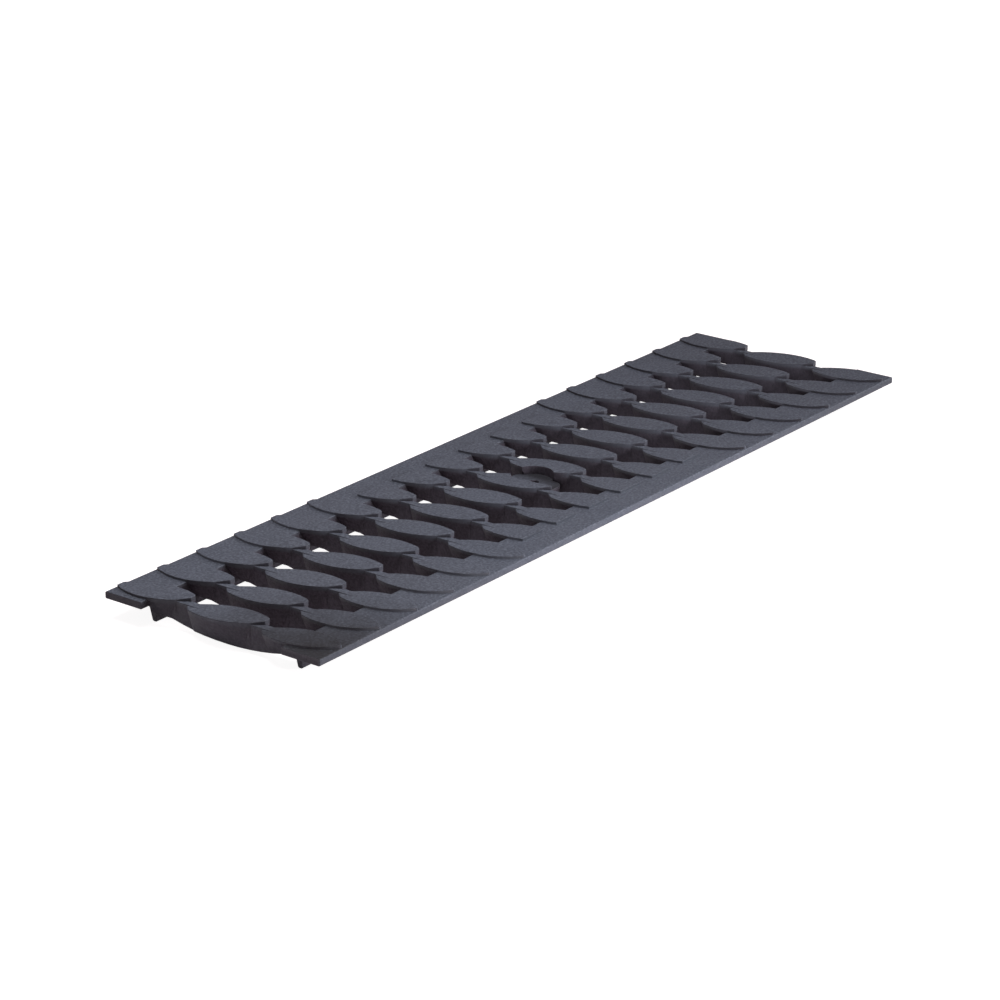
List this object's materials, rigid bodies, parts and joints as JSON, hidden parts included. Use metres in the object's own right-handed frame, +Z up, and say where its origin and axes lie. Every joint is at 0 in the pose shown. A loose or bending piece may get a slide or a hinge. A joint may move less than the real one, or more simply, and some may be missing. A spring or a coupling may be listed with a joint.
{
  "type": "channel grate",
  "caption": "Flat cast iron drain channel grate: two side rims on webs joined by cross ribs shaped like chains of overlapping leaves, with a lock hole at its centre.",
  "frame": {"origin": "middle of the grate, on the plane of the web undersides", "axes": "+X along the grate, +Y across it towards the side where the leaves dip, +Z up"},
  "size_m": [0.5, 0.134, 0.0158],
  "materials": {
    "iron": "dark blue-grey dip coating on as-cast iron, matte, fine grain"
  },
  "bodies": {
    "root": {"grate": "iron"}
  },
  "joints": []
}
